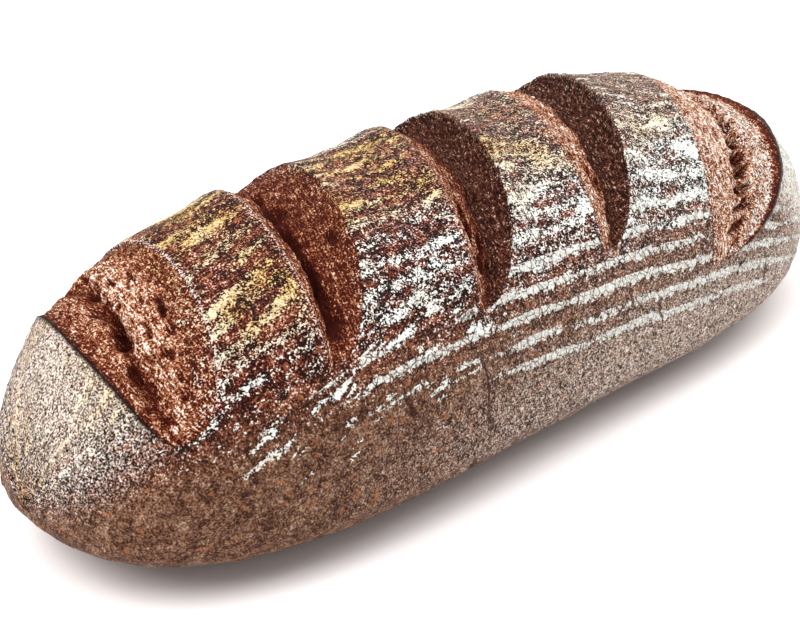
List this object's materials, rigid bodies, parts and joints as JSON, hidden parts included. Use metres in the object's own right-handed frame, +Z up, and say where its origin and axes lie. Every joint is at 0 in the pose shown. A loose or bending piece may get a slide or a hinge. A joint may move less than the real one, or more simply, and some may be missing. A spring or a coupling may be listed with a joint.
{
  "type": "batard loaf",
  "caption": "Long free-standing dark rye hearth loaf with blunt rounded ends, a flat base, crosswise slashes that opened in the oven, and rings of white flour.",
  "frame": {"origin": "on the ground under the middle of the loaf, at the centre of its bounding box's bottom", "axes": "+X along the loaf towards its wider end, +Z up, -Y towards the side that the slashes start from when the loaf is seen from its front"},
  "size_m": [0.34, 0.1386, 0.0911],
  "materials": {
    "rye_crust": "matte"
  },
  "bodies": {
    "root": {"loaf": "rye_crust"}
  },
  "joints": []
}
